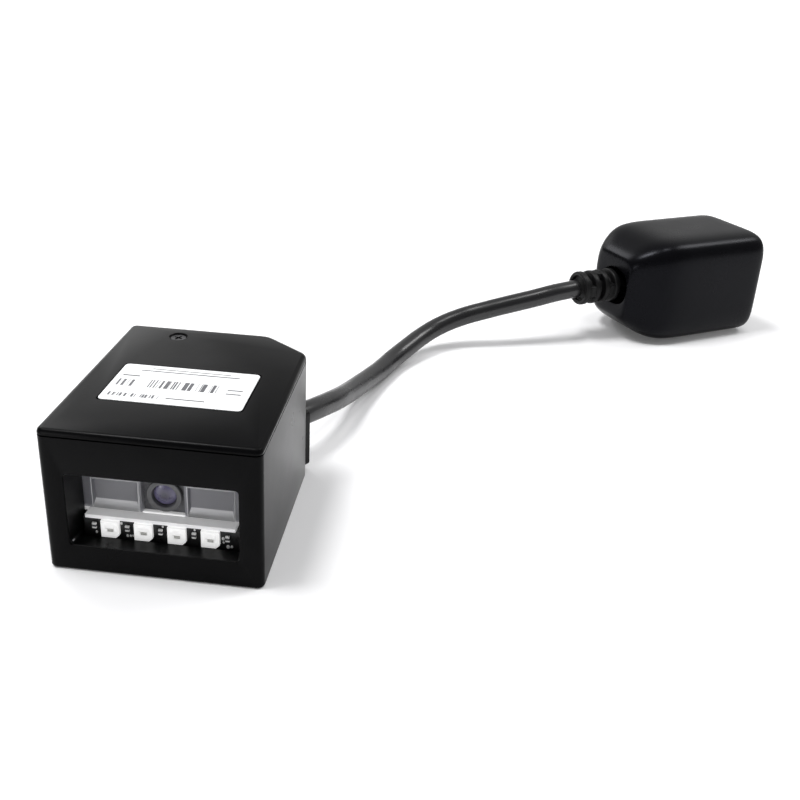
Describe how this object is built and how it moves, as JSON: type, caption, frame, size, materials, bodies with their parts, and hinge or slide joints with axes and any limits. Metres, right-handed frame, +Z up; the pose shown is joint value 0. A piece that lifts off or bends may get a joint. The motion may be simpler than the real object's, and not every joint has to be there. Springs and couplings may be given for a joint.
{
  "type": "fixed barcode reader",
  "caption": "Compact fixed barcode reader in a black housing with a recessed window, LEDs, a short cable and a modular connector block.",
  "frame": {"origin": "under the middle of the housing, on the surface it stands on", "axes": "+X to the right seen from the front, +Y from the window to the back, +Z up through the lid"},
  "size_m": [0.1623, 0.1763, 0.0319],
  "materials": {
    "housing_black": "satin moulded",
    "lid_black": "satin moulded",
    "label_white": "satin film",
    "blackened_steel": "blackened",
    "screw_steel": "plated",
    "insert_brass": "knurled",
    "clear_cover": "clear moulded",
    "lens_glass": "coated",
    "barrel_black": "black anodised",
    "engine_plastic": "matt moulded",
    "lamp_board_black": "solder mask",
    "board_green": "solder mask",
    "led_white": "white resin",
    "ceramic_grey": "ceramic",
    "chip_black": "moulded resin",
    "connector_white": "nylon",
    "can_metal": "nickel plated",
    "flex_film": "polyimide",
    "wire_red": "sleeve",
    "wire_white": "sleeve",
    "wire_green": "sleeve",
    "wire_black": "sleeve",
    "grommet_rubber": "matt",
    "cable_black": "satin jacket",
    "boot_rubber": "matt",
    "hood_black": "soft satin",
    "jack_black": "satin",
    "contact_gold": "gold plated"
  },
  "bodies": {
    "root": {"housing_body": "housing_black", "housing_lid": "lid_black", "lid_label": "label_white", "lid_screw": "blackened_steel", "frame_screw_left": "screw_steel", "frame_screw_right": "screw_steel", "mounting_insert_left": "insert_brass", "mounting_insert_right": "insert_brass", "engine_cover": "clear_cover", "engine_frame": "engine_plastic", "lens_barrel": "barrel_black", "camera_lens": "lens_glass", "image_sensor": "chip_black", "cell_led_left": "led_white", "cell_led_right": "led_white", "sensor_board": "board_green", "engine_screw_left": "screw_steel", "engine_screw_right": "screw_steel", "lamp_board": "lamp_board_black", "lamp_led_1": "led_white", "lamp_led_2": "led_white", "lamp_led_3": "led_white", "lamp_led_4": "led_white", "lamp_resistor_1": "ceramic_grey", "lamp_resistor_2": "ceramic_grey", "lamp_resistor_3": "ceramic_grey", "lamp_resistor_4": "ceramic_grey", "lamp_resistor_5": "ceramic_grey", "lamp_lead_left": "wire_red", "lamp_lead_right": "wire_black", "sensor_socket": "connector_white", "board_socket": "connector_white", "flat_flex": "flex_film", "main_board": "board_green", "main_board_screw_1": "screw_steel", "main_board_screw_2": "screw_steel", "main_board_screw_3": "screw_steel", "processor": "chip_black", "memory_chip": "chip_black", "oscillator": "can_metal", "interface_chip": "chip_black", "beeper": "chip_black", "cable_header": "connector_white", "header_plug": "connector_white", "lead_wire_1": "wire_red", "lead_wire_2": "wire_white", "lead_wire_3": "wire_green", "lead_wire_4": "wire_black", "cable_grommet": "grommet_rubber", "cable": "cable_black", "connector_boot": "boot_rubber", "connector_hood": "hood_black", "jack_body": "jack_black", "jack_contacts": "contact_gold"}
  },
  "joints": []
}
